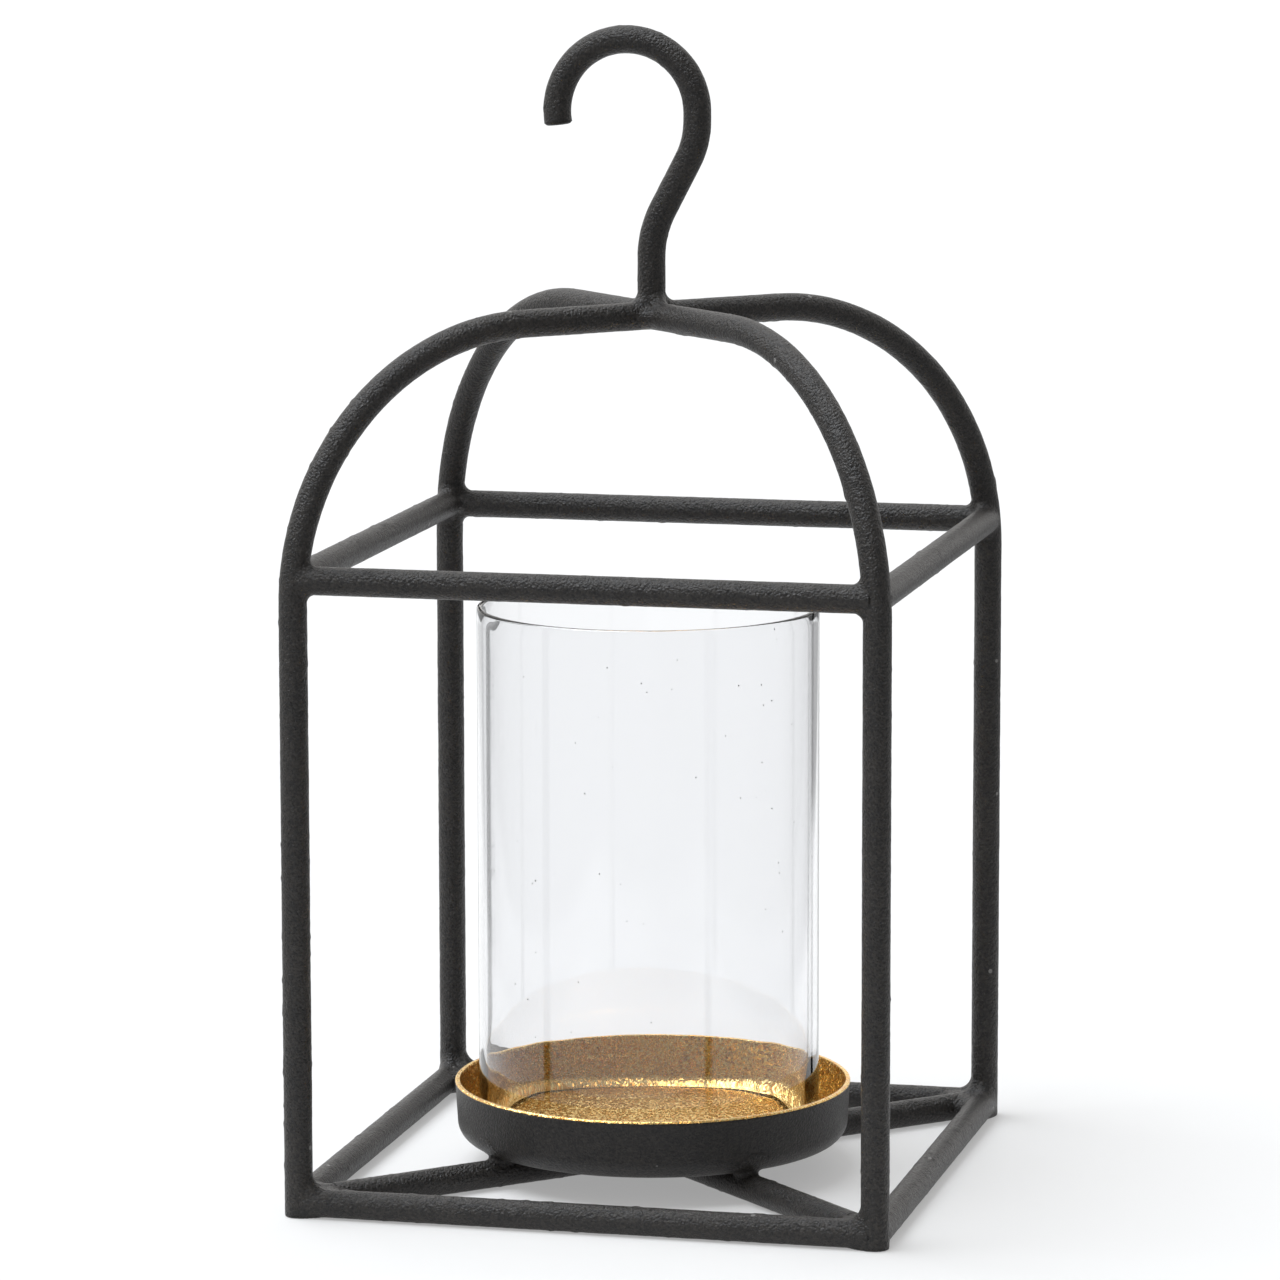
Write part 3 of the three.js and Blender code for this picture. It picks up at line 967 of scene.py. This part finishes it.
FLOOR_HALF = 6.0
FLOOR_TONE = 0.46
FLOOR_FILL_GLOW = 0.34  # radiance of its own, a painted fill light: the floor glows though it is no lamp, lifting the shadows on it
PAPER_HALF = 0.195  # half the paper's width beside the lantern
PAPER_SPREAD = 0.105  # and how much wider it gets with distance
PAPER_EDGE = 0.06
PAPER_FRONT = -0.2  # its front edge, towards the camera
LEFT_FALLOFF_SHADE = 0.32  # painted shade: the floor round the paper is darker, left and right of the lantern, where the light falls off, more so on the right
RIGHT_FALLOFF_SHADE = 0.16
FALLOFF_SHADE_BLEND = 0.05


def make_floor():
    """A strip of pale paper that widens away from the camera. Round it the floor is painted darker,
    as painted shade where the light falls off, more on the right than on the left; the whole floor
    also glows a little, a painted fill light that lifts its shadows.
    """
    finish = Finish("pale_floor")
    clouds = finish.noise(120.0, detail=2.0)
    paper = finish.mix(clouds, grey(FLOOR_TONE * 0.995), grey(FLOOR_TONE))

    def along(axis):
        inputs = {0: finish.place, 1: axis}
        made = finish.node("ShaderNodeVectorMath", inputs, operation="DOT_PRODUCT")
        return made.outputs["Value"]

    sideways = along(RIGHTWARD)
    depth = along(FORWARD)
    behind = finish.math("MAXIMUM", depth, 0.0)
    width = finish.math("MULTIPLY_ADD", behind, PAPER_SPREAD, PAPER_HALF)
    beyond = finish.math("SUBTRACT", finish.math("ABSOLUTE", sideways), width)
    # painted shade: past the paper's sides and its front edge the floor takes the darker shaded
    # tones
    beside = finish.ranged(beyond, 0.0, PAPER_EDGE, smooth=True)
    before = finish.ranged(depth, PAPER_FRONT, PAPER_FRONT - 2 * PAPER_EDGE, smooth=True)
    edge = finish.math("MAXIMUM", beside, before)
    right = finish.ranged(sideways, -FALLOFF_SHADE_BLEND, FALLOFF_SHADE_BLEND)
    painted_falloff = finish.mix(right, grey(LEFT_FALLOFF_SHADE), grey(RIGHT_FALLOFF_SHADE))
    finish.set(
        Base_Color=finish.mix(edge, paper, painted_falloff),
        Roughness=0.9,
        Specular_IOR_Level=0.1,
        # painted fill light: the floor glows, fully on the paper and at half round it
        Emission_Color=finish.mix(edge, grey(1.0), grey(0.5)),
        Emission_Strength=FLOOR_FILL_GLOW,
    )
    mesh = bpy.data.meshes.new("floor")
    half = FLOOR_HALF
    corners = [(-half, -half, 0), (half, -half, 0), (half, half, 0), (-half, half, 0)]
    mesh.from_pydata(corners, [], [(0, 1, 2, 3)])
    mesh.materials.append(finish.material)
    floor = bpy.data.objects.new("floor", mesh)
    bpy.context.scene.collection.objects.link(floor)
    floor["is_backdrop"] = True


CAMERA_AZIMUTH = math.radians(13.466)
CAMERA_ELEVATION = math.radians(8.361)
CAMERA_AIM = np.array([0, 0, 0.150])
CAMERA_DISTANCE = 1.5775
CAMERA_TURN = math.radians(0.111)
CAMERA_TILT = math.radians(0.559)
CAMERA_ROLL = math.radians(-0.106)
CAMERA_LENS = 177.54
CAMERA_SENSOR = 36.0


def backward(azimuth, elevation):
    """The direction from the part to a camera there, with azimuth 0 in front."""
    flat = math.cos(elevation)
    return np.array([math.sin(azimuth) * flat, -math.cos(azimuth) * flat, math.sin(elevation)])


def make_camera():
    place = CAMERA_AIM + backward(CAMERA_AZIMUTH, CAMERA_ELEVATION) * CAMERA_DISTANCE
    azimuth = CAMERA_AZIMUTH + CAMERA_TURN
    back = backward(azimuth, CAMERA_ELEVATION + CAMERA_TILT)
    level = np.array([math.cos(azimuth), math.sin(azimuth), 0])
    steep = np.cross(back, level)
    right = level * math.cos(CAMERA_ROLL) + steep * math.sin(CAMERA_ROLL)
    above = steep * math.cos(CAMERA_ROLL) - level * math.sin(CAMERA_ROLL)
    data = bpy.data.cameras.new("camera")
    data.lens = CAMERA_LENS
    data.sensor_width = CAMERA_SENSOR
    data.clip_start = 0.05
    data.clip_end = 50
    camera = bpy.data.objects.new("camera", data)
    bpy.context.scene.collection.objects.link(camera)
    rows = [[right[k], above[k], back[k], place[k]] for k in range(3)]
    camera.matrix_world = Matrix([*rows, [0, 0, 0, 1]])
    bpy.context.scene.camera = camera


BACKDROP_LIGHT = 1.06
LEFT_LIGHT = 0.62
RIGHT_LIGHT = 0.3
FRONT_LIGHT = 0.29
STUDIO_COLOUR = (1.0, 0.985, 0.965, 1)
SOFTBOX_TOWARDS = (-0.4, -0.06, 1.0)
SOFTBOX_WIDTH = math.radians(48)
SOFTBOX_STRENGTH = 3.4
SOFTBOX_COLOUR = (0.93, 0.965, 1.0)


def make_world():
    """A studio round the part: a white backdrop behind it, and dimmer walls in front and at the
    sides, the left one lighter than the right one."""
    world = bpy.data.worlds.new("studio")
    world.use_nodes = True
    tree = world.node_tree
    background = next(n for n in tree.nodes if n.type == "BACKGROUND")
    direction = tree.nodes.new("ShaderNodeTexCoord").outputs["Generated"]

    def along(axis):
        made = tree.nodes.new("ShaderNodeVectorMath")
        made.operation = "DOT_PRODUCT"
        tree.links.new(direction, made.inputs[0])
        made.inputs[1].default_value = axis
        return made.outputs["Value"]

    def ranged(value, low, high, to_low, to_high):
        made = tree.nodes.new("ShaderNodeMapRange")
        made.interpolation_type = "SMOOTHSTEP"
        tree.links.new(value, made.inputs["Value"])
        ends = {"From Min": low, "From Max": high, "To Min": to_low, "To Max": to_high}
        for key, end in ends.items():
            if isinstance(end, bpy.types.NodeSocket):
                tree.links.new(end, made.inputs[key])
            else:
                made.inputs[key].default_value = end
        return made.outputs["Result"]

    side = ranged(along(RIGHTWARD), -0.9, 0.9, LEFT_LIGHT, RIGHT_LIGHT)
    front = ranged(along(FORWARD), -0.9, -0.1, FRONT_LIGHT, side)
    strength = ranged(along(FORWARD), 0.15, 0.6, front, BACKDROP_LIGHT)
    tree.links.new(strength, background.inputs["Strength"])
    background.inputs["Color"].default_value = STUDIO_COLOUR
    bpy.context.scene.world = world


def sky_light(name, towards, width, strength, colour):
    """A broad soft light, as from a large softbox far off in one direction."""
    data = bpy.data.lights.new(name, "SUN")
    data.angle = width
    data.energy = strength
    data.color = colour
    light = bpy.data.objects.new(name, data)
    bpy.context.scene.collection.objects.link(light)
    light.rotation_mode = "QUATERNION"
    light.rotation_quaternion = Vector(towards).to_track_quat("Z", "Y")


make_floor()
make_camera()
make_world()
sky_light("top_softbox", SOFTBOX_TOWARDS, SOFTBOX_WIDTH, SOFTBOX_STRENGTH, SOFTBOX_COLOUR)
bpy.context.scene.view_settings.view_transform = "Standard"
